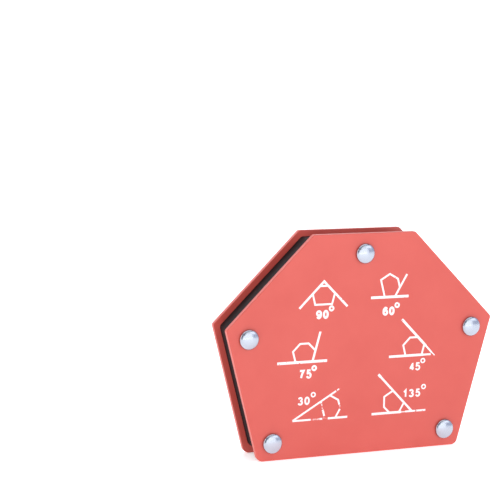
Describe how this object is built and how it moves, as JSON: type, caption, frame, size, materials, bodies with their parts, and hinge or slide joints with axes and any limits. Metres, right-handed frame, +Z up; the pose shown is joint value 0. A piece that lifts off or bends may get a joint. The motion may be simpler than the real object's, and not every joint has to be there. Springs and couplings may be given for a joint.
{
  "type": "welding magnet holder",
  "caption": "Flat six-sided magnetic welding holder: two riveted steel plates over a plastic frame of ferrite magnets, with straight working edges at set angles.",
  "frame": {"origin": "middle of the bottom working edge, halfway through the thickness", "axes": "+X to the right along the bottom edge seen from the front, +Y from the printed front plate to the back plate, +Z up to the top edge"},
  "size_m": [0.1098, 0.0196, 0.084],
  "materials": {
    "red_paint": "satin powder coat",
    "black_plastic": "moulded, satin",
    "ferrite": "ground, matte",
    "sleeve_aluminium": "cut tube, satin",
    "bright_rivet": "polished plating"
  },
  "bodies": {
    "root": {"front_plate": "red_paint", "back_plate": "red_paint", "core_frame": "black_plastic", "ferrite_magnet_1": "ferrite", "ferrite_magnet_2": "ferrite", "ferrite_magnet_3": "ferrite", "ferrite_magnet_4": "ferrite", "ferrite_magnet_5": "ferrite", "ferrite_magnet_6": "ferrite", "ferrite_magnet_7": "ferrite", "ferrite_magnet_8": "ferrite", "spacer_sleeve_top": "sleeve_aluminium", "spacer_sleeve_left": "sleeve_aluminium", "spacer_sleeve_right": "sleeve_aluminium", "spacer_sleeve_low_left": "sleeve_aluminium", "spacer_sleeve_low_right": "sleeve_aluminium", "rivet_top": "bright_rivet", "rivet_left": "bright_rivet", "rivet_right": "bright_rivet", "rivet_low_left": "bright_rivet", "rivet_low_right": "bright_rivet"}
  },
  "joints": []
}
